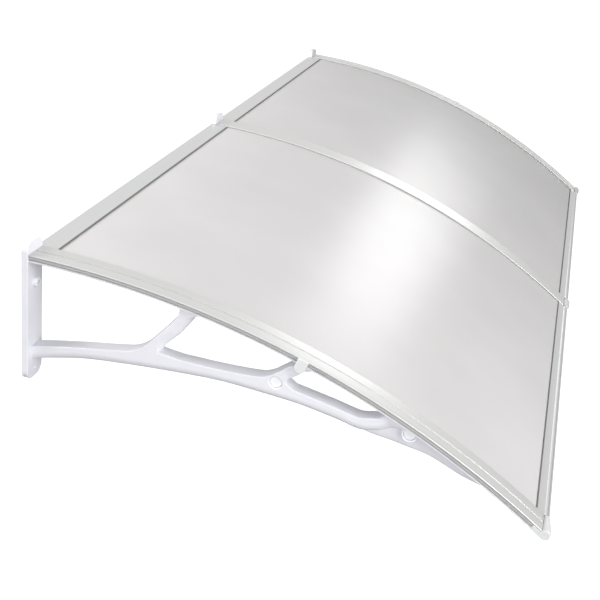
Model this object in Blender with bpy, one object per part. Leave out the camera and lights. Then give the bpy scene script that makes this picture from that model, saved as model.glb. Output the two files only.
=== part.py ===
"""Door canopy: three moulded brackets carry two curved twin-wall sheets.

World frame, in metres: the wall is the plane X = 0 and +X points away from it, Y runs along the wall
with the middle bracket at Y = 0 and the near end at -Y, and +Z is up. The origin lies on the wall, on the
back of the middle bracket's plate, level with the top of the sheets there.

Nearly every piece is a side outline in the XZ plane, drawn out along Y.
"""

import math

import bmesh
import bpy
from mathutils import Matrix, Vector

# Overall sizes
LENGTH = 2.0  # along the wall, over the outer edges of the cover strips
PROJECTION = 0.96  # from the wall to the front edge of the sheets' line
FRONT_DROP = 0.304  # height lost between the wall and the front edge
SHEET_RISE = 0.078  # how far the sheets arch above the straight line from wall to front

# Sheets
SHEET_THICKNESS = 0.0045
SHEET_SIDE_INSET = 0.0025  # edge of a sheet behind the outer edge of its cover strip
SHEET_JOINT_GAP = 0.006  # between the two sheets, under the middle strip
SHEET_HOLE_CLEARANCE = 0.0006

# Clamping stack above and below the sheets
GAP = 0.0003  # between pieces that touch
GASKET_THICKNESS = 0.0009
STRIP_WIDTH = 0.051
STRIP_THICKNESS = 0.0024
GROOVE_WIDTH = 0.0025
GROOVE_DEPTH = 0.0005

# Bracket
PLATE_THICKNESS = 0.012
PLATE_WIDTH = 0.0545
PLATE_TOP = 0.0225
PLATE_BOTTOM = -0.245
PLATE_TOP_CORNER = 0.014
PLATE_BOTTOM_CORNER = 0.020
PLATE_ROUNDING = 0.001
WALL_HOLE_RADIUS = 0.004
UPPER_HOLE_Z = -0.055
LOWER_HOLE_Z = -0.226
HOLE_BOSS_RADIUS = 0.009
HOLE_BOSS_HEIGHT = 0.008
ARM_WIDTH = 0.029
ARM_ROUNDING = 0.0014
RAIL_WIDTH = 0.050
FLANGE_THICKNESS = 0.003
RIB_HEIGHT = 0.006
RIB_END_SETBACK = 0.002  # the rib stops this far behind the flange
BLADE_THICKNESS = 0.013
BLADE_ROUNDING = 0.001
TIP_SETBACK = 0.255  # from the front line back to the centre of the arm's tip boss
TIP_DEPTH = 0.022  # tip boss centre below the sheets' top
JOINT_SETBACK = 0.493  # from the front line back to the recess where the second strut starts
JOINT_DEPTH = 0.0713
RECESS_RADIUS = 0.011
RECESS_DEPTH = 0.006
TIP_BOSS_RADIUS = 0.014
TIP_BOSS_STEP = 0.0002  # the boss ends this far inside the arm's side face
PLUG_THICKNESS = 0.0027

# Wall bar, front bar and their sealing lips
BAR_WALL = 0.002
REAR_BAR_DEPTH = 0.041
REAR_BAR_BACK_HEIGHT = 0.018
REAR_SHELF_DEPTH = 0.030
FRONT_BAR_DEPTH = 0.029
FRONT_BAR_HEIGHT = 0.013
FRONT_LIP_RETURN = 0.008
FRONT_RIDGE_SETBACK = 0.0085
FRONT_RIDGE_WIDTH = 0.009
FRONT_RIDGE_HEIGHT = 0.0012
SHEET_FRONT_INSET = 0.0063
BAR_END_GAP = 0.0005
LIP_WIDTH = 0.0032
LIP_HEIGHT = 0.0016

# End caps, clips and screws
CAP_LENGTH = 0.032
CAP_CHEEK = 0.0020
BULB_RADIUS = 0.0096  # round front of an end cap
BULB_SETBACK = 0.0064
BULB_LEVEL = 0.0004
BULB_STRAIGHT = 0.019
BULB_END_RADIUS = 0.0066
BULB_OFFSET = 0.0005  # the bulb stands this far past the strip's edge outside, and stops short inside
CLIP_SETBACK = 0.448
CLIP_WIDTH = 0.020
CLIP_THICKNESS = 0.005
CLIP_DROP = 0.022
CLIP_RISE = 0.0045
CLIP_ROUNDING = 0.001
SCREW_SETBACKS = (0.820, 0.560, 0.085)
SCREW_RADIUS = 0.0018
SCREW_HEAD_RADIUS = 0.0042
SCREW_HEAD_HEIGHT = 0.0026
SCREW_ROOF = 0.0010  # metal left above the screw's blind hole in the strip
SCREW_CLEARANCE = 0.0003
SCREW_SEAT_GAP = 0.0005  # the head is flat and the rib above it curves

# Smoothness of round shapes
ARC_STEP = math.radians(1.2)
CURVE_STEPS = 3
ROUND_SIDES = 24
SMALL_SIDES = 12

END_BRACKET_Y = LENGTH / 2 - STRIP_WIDTH / 2
BRACKETS = {"near": -END_BRACKET_Y, "middle": 0.0, "far": END_BRACKET_Y}

# Levels across the stack, measured square to the sheets from their top face
GASKET_TOP = GAP + GASKET_THICKNESS
STRIP_UNDER = GASKET_TOP + GAP
STRIP_TOP = STRIP_UNDER + STRIP_THICKNESS
RAIL_GASKET_TOP = -SHEET_THICKNESS - GAP
RAIL_GASKET_UNDER = RAIL_GASKET_TOP - GASKET_THICKNESS
FLANGE_TOP = RAIL_GASKET_UNDER - GAP
FLANGE_UNDER = FLANGE_TOP - FLANGE_THICKNESS
RIB_UNDER = FLANGE_UNDER - RIB_HEIGHT

PLASTIC_WHITE = ((0.86, 0.86, 0.89), 0.42, 0.0)
ALUMINIUM = ((0.72, 0.72, 0.72), 0.38, 0.9)
SHEET_MILKY = ((0.83, 0.82, 0.82), 0.18, 0.0)
RUBBER_GREY = ((0.13, 0.13, 0.13), 0.75, 0.0)
PLASTIC_GREY = ((0.62, 0.62, 0.63), 0.45, 0.0)
STEEL = ((0.60, 0.60, 0.61), 0.30, 1.0)


def clear_scene():
    for obj in list(bpy.data.objects):
        bpy.data.objects.remove(obj)


def collection(name):
    made = bpy.data.collections.new(name)
    bpy.context.scene.collection.children.link(made)
    return made


def material(name, look):
    colour, roughness, metallic = look
    made = bpy.data.materials.new(name)
    made.use_nodes = True
    shader = made.node_tree.nodes["Principled BSDF"]
    shader.inputs["Base Color"].default_value = (*colour, 1.0)
    shader.inputs["Roughness"].default_value = roughness
    shader.inputs["Metallic"].default_value = metallic
    made.diffuse_color = (*colour, 1.0)
    return made


def arc_circle():
    """Centre and radius of the sheets' top face: the circle through wall line and front line."""
    chord = math.hypot(PROJECTION, FRONT_DROP)
    radius = (chord * chord / 4 + SHEET_RISE * SHEET_RISE) / (2 * SHEET_RISE)
    normal = Vector((FRONT_DROP, PROJECTION)) / chord
    centre = Vector((PROJECTION, -FRONT_DROP)) / 2 - normal * (radius - SHEET_RISE)
    return centre, radius


ARC_CENTRE, ARC_RADIUS = arc_circle()


def on_arc(angle, level):
    """Point of the XZ plane at an angle from the vertical through the arc's centre."""
    reach = ARC_RADIUS + level
    return ARC_CENTRE + Vector((math.sin(angle), math.cos(angle))) * reach


def angle_at(x, level=0.0):
    return math.asin((x - ARC_CENTRE.x) / (ARC_RADIUS + level))


FRONT_ANGLE = angle_at(PROJECTION)
STACK_START = angle_at(PLATE_THICKNESS + GAP)  # strips, gaskets and sheets start clear of the plates


def from_front(setback):
    return PROJECTION - setback


def front_angle_back(length):
    """Angle on the arc that lies this arc length back from the front line."""
    return FRONT_ANGLE - length / ARC_RADIUS


def at_front(along, level):
    """Point beside the front line: along the sheets' slope there, and square to it."""
    return on_arc(front_angle_back(-along), level)


def roof(x):
    return on_arc(angle_at(x), 0.0).y


def under_roof(x, depth):
    """Point at a vertical depth below the sheets' top face."""
    return Vector((x, roof(x) - depth))


def under_rail(x):
    """Point on the underside of the rail's rib."""
    return on_arc(angle_at(x, RIB_UNDER), RIB_UNDER)


def arc_points(start, end, level):
    """Points along the arc, at the same angles for every level, so that stacked faces stay parallel."""
    first = math.ceil(start / ARC_STEP + 1e-6)
    last = math.floor(end / ARC_STEP - 1e-6)
    angles = [start] + [step * ARC_STEP for step in range(first, last + 1)] + [end]
    return [on_arc(angle, level) for angle in angles]


def band(start, end, low, high):
    """Closed outline between two levels of the arc."""
    return arc_points(start, end, high) + arc_points(start, end, low)[::-1]


def smooth(points, steps=CURVE_STEPS):
    """Points of an open curve that passes through the given ones (Catmull-Rom)."""
    ends = [points[0] * 2 - points[1]] + points + [points[-1] * 2 - points[-2]]
    made = []
    for before, start, end, after in zip(ends, ends[1:], ends[2:], ends[3:]):
        for step in range(steps):
            t = step / steps
            made.append(
                0.5
                * (
                    2 * start
                    + (end - before) * t
                    + (2 * before - 5 * start + 4 * end - after) * t**2
                    + (3 * start - before - 3 * end + after) * t**3
                )
            )
    return made + [points[-1]]


def circle_points(centre, radius, start, turn, steps):
    """Points along a circle in the XZ plane, clockwise from an angle measured from +Z."""
    angles = [start + turn * step / steps for step in range(steps + 1)]
    return [centre + Vector((math.sin(a), math.cos(a))) * radius for a in angles]


def mesh_object(name, mesh, group):
    obj = bpy.data.objects.new(name, mesh)
    group.objects.link(obj)
    return obj


def weld(mesh, distance=1e-5):
    """Joins points that lie together, and turns the faces outwards."""
    made = bmesh.new()
    made.from_mesh(mesh)
    bmesh.ops.remove_doubles(made, verts=made.verts, dist=distance)
    bmesh.ops.recalc_face_normals(made, faces=made.faces)
    made.to_mesh(mesh)
    made.free()


SIDE_VIEW = Matrix.Rotation(math.pi / 2, 4, "X")  # outline x, y becomes world X, Z
WALL_VIEW = Matrix(((0, 0, 1, 0), (1, 0, 0, 0), (0, 1, 0, 0), (0, 0, 0, 1)))  # becomes world Y, Z


def outline_solid(name, outline, low, high, group, rounding=0.0, view=SIDE_VIEW):
    """Solid from a filled 2D curve, drawn out between two values of the axis square to it.

    The edges around both ends can be rounded.
    """
    curve = bpy.data.curves.new(name, "CURVE")
    curve.dimensions = "2D"
    curve.fill_mode = "BOTH"
    curve.extrude = (high - low) / 2 - rounding
    curve.bevel_depth = rounding
    curve.bevel_resolution = 0
    curve.offset = -rounding
    spline = curve.splines.new("POLY")
    spline.points.add(len(outline) - 1)
    for point, place in zip(spline.points, outline):
        point.co = (place.x, place.y, 0.0, 1.0)
    spline.use_cyclic_u = True
    drawn = bpy.data.objects.new(name, curve)
    group.objects.link(drawn)
    graph = bpy.context.evaluated_depsgraph_get()
    mesh = bpy.data.meshes.new_from_object(drawn.evaluated_get(graph))
    bpy.data.objects.remove(drawn)
    bpy.data.curves.remove(curve)
    square_to_outline = Vector((0, 1, 0)) if view is SIDE_VIEW else Vector((1, 0, 0))
    shift = Matrix.Translation(square_to_outline * (low + high) / 2)
    mesh.transform(shift @ view)
    weld(mesh)
    mesh.name = name
    return mesh_object(name, mesh, group)


def rod(name, radius, start, end, sides, group):
    """Cylinder between two points."""
    axis = end - start
    mesh = bpy.data.meshes.new(name)
    made = bmesh.new()
    bmesh.ops.create_cone(
        made, cap_ends=True, segments=sides, radius1=radius, radius2=radius, depth=axis.length
    )
    turn = axis.to_track_quat("Z", "X").to_matrix().to_4x4()
    made.transform(Matrix.Translation((start + end) / 2) @ turn)
    made.to_mesh(mesh)
    made.free()
    return mesh_object(name, mesh, group)


def turned(name, profile, centre, group):
    """Round solid about an axis along Y, from places along the axis and radii."""
    places = [(profile[0][0], 0.0)] + profile + [(profile[-1][0], 0.0)]
    mesh = bpy.data.meshes.new(name)
    made = bmesh.new()
    points = [made.verts.new(centre + Vector((0, along, radius))) for along, radius in places]
    edges = [made.edges.new(pair) for pair in zip(points, points[1:])]
    bmesh.ops.spin(
        made,
        geom=points + edges,
        cent=centre,
        axis=(0, 1, 0),
        angle=2 * math.pi,
        steps=ROUND_SIDES,
        use_merge=True,
    )
    made.to_mesh(mesh)
    made.free()
    weld(mesh)
    return mesh_object(name, mesh, group)


def combine(base, others, operation):
    """Applies a Boolean with each of the others in turn, and removes them."""
    for other in others:
        modifier = base.modifiers.new(other.name, "BOOLEAN")
        modifier.operation = operation
        modifier.solver = "EXACT"
        modifier.object = other
        graph = bpy.context.evaluated_depsgraph_get()
        mesh = bpy.data.meshes.new_from_object(base.evaluated_get(graph))
        weld(mesh)
        base.modifiers.clear()
        base.data = mesh
        bpy.data.objects.remove(other)
    return base


def finish(obj, look, smooth_under=30.0):
    obj.data.materials.clear()
    obj.data.materials.append(look)
    obj.data.shade_smooth()
    obj.data.set_sharp_from_angle(angle=math.radians(smooth_under))
    return obj


def plate_outline():
    """Upright plate with well rounded corners, as Y and Z."""
    quarter = math.pi / 2
    corners = (
        (-1, PLATE_TOP, PLATE_TOP_CORNER),
        (1, PLATE_TOP, PLATE_TOP_CORNER),
        (1, PLATE_BOTTOM, -PLATE_BOTTOM_CORNER),
        (-1, PLATE_BOTTOM, -PLATE_BOTTOM_CORNER),
    )
    made = []
    for number, (side, edge, radius) in enumerate(corners):
        centre = Vector((side * (PLATE_WIDTH / 2 - abs(radius)), edge - radius))
        made += circle_points(centre, abs(radius), (number - 1) * quarter, quarter, ROUND_SIDES // 4)
    return made


def arm_outline(rail_end_angle):
    """Outer loop of arm and rail rib, from the plate along the rail to its end and back under the arm."""
    inside_plate = PLATE_THICKNESS / 2
    start = angle_at(inside_plate)
    top = arc_points(start, rail_end_angle, (FLANGE_TOP + FLANGE_UNDER) / 2)
    tip = from_front(TIP_SETBACK)
    rail_back = arc_points(angle_at(tip, RIB_UNDER), rail_end_angle, RIB_UNDER)[::-1]
    nose = [
        under_roof(tip - 0.018, 0.0235),
        under_roof(tip - 0.034, 0.0340),
        under_roof(tip - 0.051, 0.0505),
        under_roof(tip - 0.067, 0.0612),
        under_roof(tip - 0.084, 0.0716),
        under_roof(tip - 0.102, 0.0760),
    ]
    lower = [
        under_roof(tip - 0.120, 0.0780),
        under_roof(tip - 0.192, 0.0905),
        under_roof(tip - 0.264, 0.1060),
        under_roof(tip - 0.336, 0.1202),
        under_roof(tip - 0.412, 0.1383),
        under_roof(tip - 0.500, 0.1578),
        under_roof(tip - 0.590, 0.1760),
        under_roof(tip - 0.650, 0.1920),
        Vector((inside_plate, roof(inside_plate) - 0.2050)),
    ]
    return top + rail_back + smooth(nose + lower)


def first_bay():
    """Opening between plate, arm and first strut."""
    inside_plate = PLATE_THICKNESS / 2
    tip = from_front(TIP_SETBACK)
    strut_top = tip - 0.417
    floor = [
        Vector((inside_plate, roof(inside_plate) - 0.1785)),
        under_roof(tip - 0.637, 0.1642),
        under_roof(tip - 0.585, 0.1517),
        under_roof(tip - 0.540, 0.1402),
        under_roof(tip - 0.502, 0.1281),
        under_roof(tip - 0.477, 0.1093),
        under_roof(tip - 0.455, 0.0808),
        under_roof(tip - 0.433, 0.0498),
        under_roof(tip - 0.4205, 0.0300),
        under_rail(strut_top - 0.001),
    ]
    run = strut_top - inside_plate
    ceiling = [under_rail(inside_plate + run * share) for share in (0.75, 0.5, 0.25, 0)]
    return smooth(floor) + ceiling


def second_bay():
    """Long opening between the two struts, over the crown of the arm."""
    tip = from_front(TIP_SETBACK)
    rising = [
        under_roof(tip - 0.4525, 0.1132),
        under_roof(tip - 0.4400, 0.0912),
        under_roof(tip - 0.4215, 0.0682),
        under_roof(tip - 0.4055, 0.0434),
        under_roof(tip - 0.3930, 0.0228),
        under_rail(tip - 0.384),
    ]
    ceiling = [under_rail(tip - setback) for setback in (0.345, 0.305, 0.265, 0.225)]
    falling = [
        under_rail(tip - 0.2060),
        under_roof(tip - 0.2070, 0.0215),
        under_roof(tip - 0.2170, 0.0286),
        under_roof(tip - 0.2330, 0.0463),
        under_roof(tip - 0.2520, 0.0655),
        under_roof(tip - 0.2740, 0.0778),
        under_roof(tip - 0.3380, 0.0968),
        under_roof(tip - 0.4110, 0.1112),
    ]
    return smooth(rising) + ceiling + smooth(falling)


def third_bay():
    """Opening between the second strut and the arm's rising tip."""
    tip = from_front(TIP_SETBACK)
    rising = [
        under_roof(tip - 0.2180, 0.0640),
        under_roof(tip - 0.2220, 0.0590),
        under_roof(tip - 0.2160, 0.0530),
        under_roof(tip - 0.2050, 0.0412),
        under_roof(tip - 0.1930, 0.0268),
        under_rail(tip - 0.1780),
    ]
    ceiling = [under_rail(tip - setback) for setback in (0.145, 0.105, 0.070)]
    floor = [
        under_rail(tip - 0.0440),
        under_roof(tip - 0.0530, 0.0270),
        under_roof(tip - 0.0700, 0.0385),
        under_roof(tip - 0.0870, 0.0487),
        under_roof(tip - 0.1050, 0.0530),
        under_roof(tip - 0.1400, 0.0583),
        under_roof(tip - 0.1760, 0.0640),
        under_roof(tip - 0.2060, 0.0680),
    ]
    return smooth(rising) + ceiling + smooth(floor)


def blade_outline():
    """Thin web under the front of the rail, tapering out towards the front."""
    tip = from_front(TIP_SETBACK)
    run = from_front(0) - tip
    level = (FLANGE_UNDER + RIB_UNDER) / 2
    top = [on_arc(angle_at(tip + run * share), level) for share in (-0.2, 0.1, 0.35, 0.61)]
    lower = [
        under_roof(tip + run * 0.61, 0.0186),
        under_roof(tip + run * 0.49, 0.0250),
        under_roof(tip + 0.094, 0.0323),
        under_roof(tip + 0.057, 0.0362),
        under_roof(tip + 0.032, 0.0401),
        under_roof(tip - 0.002, 0.0502),
        under_roof(tip - 0.032, 0.0588),
        under_roof(tip - 0.071, 0.0702),
        under_roof(tip - 0.100, 0.0720),
    ]
    return top + smooth(lower)


def screw_frame(setback):
    """Point on the sheets' top and the direction square to them, for a strip screw."""
    angle = angle_at(from_front(setback))
    centre = on_arc(angle, 0.0)
    normal = Vector((math.sin(angle), 0, math.cos(angle)))
    return Vector((centre.x, 0, centre.y)), normal


def screw_holes(y, low, high, clearance, group):
    """Round cutters for one bracket's strip screws, between two levels."""
    holes = []
    for number, setback in enumerate(SCREW_SETBACKS, 1):
        centre, normal = screw_frame(setback)
        centre.y = y
        start = centre + normal * low
        end = centre + normal * high
        holes.append(rod(f"hole_{number}", SCREW_RADIUS + clearance, start, end, SMALL_SIDES, group))
    return holes


def recess_centre(setback, depth):
    place = under_roof(from_front(setback), depth)
    return Vector((place.x, 0, place.y))


RECESSES = {"joint": (JOINT_SETBACK, JOINT_DEPTH), "tip": (TIP_SETBACK, TIP_DEPTH)}


def bracket_mesh(cutters):
    """One moulding: wall plate, arm, struts, rail and blade, around Y = 0."""
    half = ARM_WIDTH / 2
    rail_end = front_angle_back(CAP_LENGTH + GAP)
    rib_end = front_angle_back(CAP_LENGTH + RIB_END_SETBACK)
    arm = outline_solid("arm", arm_outline(rib_end), -half, half, cutters, ARM_ROUNDING)
    bays = [
        outline_solid("bay", bay, -ARM_WIDTH, ARM_WIDTH, cutters)
        for bay in (first_bay(), second_bay(), third_bay())
    ]
    combine(arm, bays, "DIFFERENCE")
    plate = outline_solid(
        "plate", plate_outline(), 0, PLATE_THICKNESS, cutters, PLATE_ROUNDING, WALL_VIEW
    )
    flange = outline_solid(
        "flange",
        band(angle_at(PLATE_THICKNESS / 2), rail_end, FLANGE_UNDER, FLANGE_TOP),
        -RAIL_WIDTH / 2,
        RAIL_WIDTH / 2,
        cutters,
    )
    web = BLADE_THICKNESS / 2
    blade = outline_solid("blade", blade_outline(), -web, web, cutters, BLADE_ROUNDING)
    hole_boss = rod(
        "hole_boss",
        HOLE_BOSS_RADIUS,
        Vector((PLATE_THICKNESS / 2, 0, UPPER_HOLE_Z)),
        Vector((PLATE_THICKNESS + HOLE_BOSS_HEIGHT, 0, UPPER_HOLE_Z)),
        ROUND_SIDES,
        cutters,
    )
    tip = recess_centre(*RECESSES["tip"])
    tip_face = tip - Vector((0, half - TIP_BOSS_STEP, 0))
    tip_boss = rod("tip_boss", TIP_BOSS_RADIUS, tip_face, tip, ROUND_SIDES, cutters)
    combine(plate, [flange, arm, blade, hole_boss, tip_boss], "UNION")

    cuts = []
    for z in (UPPER_HOLE_Z, LOWER_HOLE_Z):
        start = Vector((-PLATE_THICKNESS, 0, z))
        end = Vector((PLATE_THICKNESS * 3, 0, z))
        cuts.append(rod("wall_hole", WALL_HOLE_RADIUS, start, end, ROUND_SIDES, cutters))
    for setback, depth in RECESSES.values():
        centre = recess_centre(setback, depth)
        floor = centre - Vector((0, half - RECESS_DEPTH, 0))
        outside = centre - Vector((0, half + RECESS_DEPTH, 0))
        cuts.append(rod("recess", RECESS_RADIUS, outside, floor, ROUND_SIDES, cutters))
    cuts += screw_holes(0, RIB_UNDER * 2, FLANGE_TOP + RIB_HEIGHT, SCREW_CLEARANCE, cutters)
    combine(plate, cuts, "DIFFERENCE")
    mesh = plate.data
    mesh.name = "bracket"
    bpy.data.objects.remove(plate)
    return mesh


def add_brackets(parts, cutters, looks):
    mesh = bracket_mesh(cutters)
    for name, y in BRACKETS.items():
        bracket = mesh_object(f"bracket_{name}", mesh, parts)
        bracket.location.y = y
        finish(bracket, looks["bracket_plastic"])


def add_plugs(parts, looks):
    """White push-in plugs at the bottom of the recesses, on the near side of each bracket."""
    for name, y in BRACKETS.items():
        for place, (setback, depth) in RECESSES.items():
            centre = recess_centre(setback, depth)
            floor = centre + Vector((0, y - ARM_WIDTH / 2 + RECESS_DEPTH - GAP, 0))
            face = floor - Vector((0, PLUG_THICKNESS, 0))
            plug = rod(f"{place}_plug_{name}", RECESS_RADIUS - GAP, face, floor, ROUND_SIDES, parts)
            finish(plug, looks["plug_plastic"])


def strip_outline():
    """Side of a cover strip, from the wall plate to the end cap's round front."""
    end = front_angle_back(BULB_SETBACK + BULB_RADIUS + GAP)
    return band(STACK_START, end, STRIP_UNDER, STRIP_TOP)


def add_strips(parts, cutters, looks):
    """Aluminium cover strips. The two at the ends have a fine groove along the middle."""
    half = STRIP_WIDTH / 2
    for name, y in BRACKETS.items():
        strip = outline_solid(f"cover_strip_{name}", strip_outline(), y - half, y + half, parts)
        cuts = screw_holes(y, STRIP_UNDER - GAP, STRIP_TOP - SCREW_ROOF, SCREW_CLEARANCE, cutters)
        if name != "middle":
            groove = band(
                angle_at(PLATE_THICKNESS * 1.5),
                front_angle_back(CAP_LENGTH / 2),
                STRIP_TOP - GROOVE_DEPTH,
                STRIP_TOP + GROOVE_DEPTH,
            )
            cuts.append(
                outline_solid("groove", groove, y - GROOVE_WIDTH / 2, y + GROOVE_WIDTH / 2, cutters)
            )
        combine(strip, cuts, "DIFFERENCE")
        finish(strip, looks["strip_aluminium"])


def add_gaskets(parts, cutters, looks):
    """Flat rubber under each strip and on each rail, with the sheets between them."""
    end = front_angle_back(CAP_LENGTH + GAP)
    half = STRIP_WIDTH / 2
    levels = {"strip_gasket": (GAP, GASKET_TOP), "rail_gasket": (RAIL_GASKET_UNDER, RAIL_GASKET_TOP)}
    for kind, (low, high) in levels.items():
        outline = band(STACK_START, end, low, high)
        for name, y in BRACKETS.items():
            gasket = outline_solid(f"{kind}_{name}", outline, y - half, y + half, parts)
            holes = screw_holes(y, low - GASKET_THICKNESS, high + GASKET_THICKNESS, SCREW_CLEARANCE, cutters)
            combine(gasket, holes, "DIFFERENCE")
            finish(gasket, looks["gasket_rubber"])


def add_sheets(parts, cutters, looks):
    """Two sheets from the plates to the inside of the front bars."""
    outline = band(STACK_START, front_angle_back(SHEET_FRONT_INSET), -SHEET_THICKNESS, 0)
    outer = LENGTH / 2 - SHEET_SIDE_INSET
    inner = SHEET_JOINT_GAP / 2
    for name, (low, high) in {"near": (-outer, -inner), "far": (inner, outer)}.items():
        sheet = outline_solid(f"sheet_{name}", outline, low, high, parts)
        under = -2 * SHEET_THICKNESS
        holes = screw_holes(BRACKETS[name], under, SHEET_THICKNESS, SHEET_HOLE_CLEARANCE, cutters)
        combine(sheet, holes, "DIFFERENCE")
        finish(sheet, looks["sheet_polycarbonate"])


def rear_bar_outline():
    """Bar on the wall: upright back, flange over the sheets and shelf below them."""
    flange_top = GAP + BAR_WALL
    shelf_top = -SHEET_THICKNESS - GAP
    shelf_under = shelf_top - BAR_WALL
    flange_end = angle_at(REAR_BAR_DEPTH)
    shelf_end = angle_at(REAR_SHELF_DEPTH)
    back = angle_at(0.0)
    web = angle_at(BAR_WALL)
    return (
        arc_points(back, flange_end, flange_top)
        + arc_points(web, flange_end, GAP)[::-1]
        + arc_points(web, shelf_end, shelf_top)
        + arc_points(web, shelf_end, shelf_under)[::-1]
        + [Vector((BAR_WALL, -REAR_BAR_BACK_HEIGHT)), Vector((0.0, -REAR_BAR_BACK_HEIGHT))]
    )


def front_bar_outline():
    """Bar on the front edge: flange with a low ridge, front web with a drip return, and shelf."""
    flange_top = GAP + BAR_WALL
    shelf_top = -SHEET_THICKNESS - GAP
    ridge = -FRONT_RIDGE_SETBACK
    half_ridge = FRONT_RIDGE_WIDTH / 2
    slot_end = -SHEET_FRONT_INSET + GAP
    places = [
        (-FRONT_BAR_DEPTH, GAP),
        (-FRONT_BAR_DEPTH, flange_top - BAR_WALL / 4),
        (ridge - half_ridge, flange_top),
        (ridge - half_ridge / 2, flange_top + FRONT_RIDGE_HEIGHT),
        (ridge + half_ridge / 2, flange_top + FRONT_RIDGE_HEIGHT),
        (ridge + half_ridge, flange_top),
        (-BAR_WALL / 2, flange_top),
        (0.0, flange_top - BAR_WALL / 2),
        (0.0, -FRONT_BAR_HEIGHT),
        (-FRONT_LIP_RETURN, -FRONT_BAR_HEIGHT),
        (-FRONT_LIP_RETURN, BAR_WALL - FRONT_BAR_HEIGHT),
        (-BAR_WALL, BAR_WALL - FRONT_BAR_HEIGHT),
        (-BAR_WALL, shelf_top - BAR_WALL),
        (-FRONT_BAR_DEPTH, shelf_top - BAR_WALL),
        (-FRONT_BAR_DEPTH, shelf_top),
        (slot_end, shelf_top),
        (slot_end, GAP),
    ]
    return [at_front(along, level) for along, level in places]


def lip_outlines():
    """Sealing lips that lie on the sheets along the edges of both bars."""
    rear_start = angle_at(REAR_BAR_DEPTH + GAP)
    rear_end = angle_at(REAR_BAR_DEPTH + GAP + LIP_WIDTH)
    front_end = front_angle_back(FRONT_BAR_DEPTH + GAP)
    front_start = front_angle_back(FRONT_BAR_DEPTH + GAP + LIP_WIDTH)
    top = GAP + LIP_HEIGHT
    return {
        "rear_lip": band(rear_start, rear_end, GAP, top),
        "front_lip": band(front_start, front_end, GAP, top),
    }


def add_bars(parts, looks):
    """Wall bars run between the plates. Front bars and lips run between the cover strips."""
    plate_clear = max(PLATE_WIDTH, STRIP_WIDTH) / 2 + BAR_END_GAP
    strip_clear = STRIP_WIDTH / 2 + BAR_END_GAP
    outlines = {"rear_bar": rear_bar_outline(), "front_bar": front_bar_outline(), **lip_outlines()}
    for kind, outline in outlines.items():
        clear = plate_clear if kind.startswith("rear") else strip_clear
        look = looks["gasket_rubber"] if kind.endswith("lip") else looks["bar_aluminium"]
        spans = {
            "near": (BRACKETS["near"] + clear, -clear),
            "far": (clear, BRACKETS["far"] - clear),
        }
        for name, (low, high) in spans.items():
            finish(outline_solid(f"{kind}_{name}", outline, low, high, parts), look)


def tongue_outline():
    """Side of an end cap's flat part, which fills the stack between the strip and the rail's end."""
    return band(front_angle_back(CAP_LENGTH), front_angle_back(BULB_SETBACK), FLANGE_UNDER, GASKET_TOP)


def bulb_profile(name):
    """Places along Y and radii of a cap's round front, which tapers towards each front bar."""
    half = STRIP_WIDTH / 2
    outer = half + BULB_OFFSET
    inner = half - BULB_OFFSET * 2
    if name == "middle":
        straight = BULB_STRAIGHT / 2
        return [
            (-inner, BULB_END_RADIUS),
            (-straight, BULB_RADIUS),
            (straight, BULB_RADIUS),
            (inner, BULB_END_RADIUS),
        ]
    near = [(-outer, BULB_RADIUS), (BULB_STRAIGHT - half, BULB_RADIUS), (inner, BULB_END_RADIUS)]
    if name == "near":
        return near
    return [(-along, radius) for along, radius in near[::-1]]


def add_end_caps(parts, cutters, looks):
    """Mouldings at the front ends of the strips, slotted for the sheets up to a cheek or a web."""
    half = STRIP_WIDTH / 2
    web = SHEET_JOINT_GAP / 2 - GAP
    slots = {
        "near": [(-half + CAP_CHEEK, half * 2)],
        "middle": [(-half * 2, -web), (web, half * 2)],
        "far": [(-half * 2, half - CAP_CHEEK)],
    }
    slot_start = front_angle_back(CAP_LENGTH * 2)
    slot_end = front_angle_back(SHEET_FRONT_INSET - GAP)
    slot = band(slot_start, slot_end, -SHEET_THICKNESS - GAP, GAP)
    for name, y in BRACKETS.items():
        cap = outline_solid(f"end_cap_{name}", tongue_outline(), y - half, y + half, parts)
        place = at_front(-BULB_SETBACK, BULB_LEVEL)
        bulb = turned("bulb", bulb_profile(name), Vector((place.x, y, place.y)), cutters)
        combine(cap, [bulb], "UNION")
        cuts = [outline_solid("slot", slot, y + low, y + high, cutters) for low, high in slots[name]]
        combine(cap, cuts, "DIFFERENCE")
        finish(cap, looks["cap_plastic"])


def clip_outline():
    """Side clip: straight at the top of the strip, round at the bottom."""
    angle = angle_at(from_front(CLIP_SETBACK))
    across = Vector((math.cos(angle), -math.sin(angle)))
    down = on_arc(angle, -CLIP_DROP + CLIP_WIDTH / 2)
    top = on_arc(angle, CLIP_RISE)
    round_end = circle_points(down, CLIP_WIDTH / 2, angle + math.pi / 2, math.pi, 10)
    return [top - across * CLIP_WIDTH / 2, top + across * CLIP_WIDTH / 2] + round_end


def add_clips(parts, looks):
    """Clips over the outer edges of the two end strips."""
    inner = LENGTH / 2 + GAP
    outer = inner + CLIP_THICKNESS
    for name, (low, high) in {"near": (-outer, -inner), "far": (inner, outer)}.items():
        clip = outline_solid(f"edge_clip_{name}", clip_outline(), low, high, parts, CLIP_ROUNDING)
        finish(clip, looks["clip_plastic"])


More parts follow.
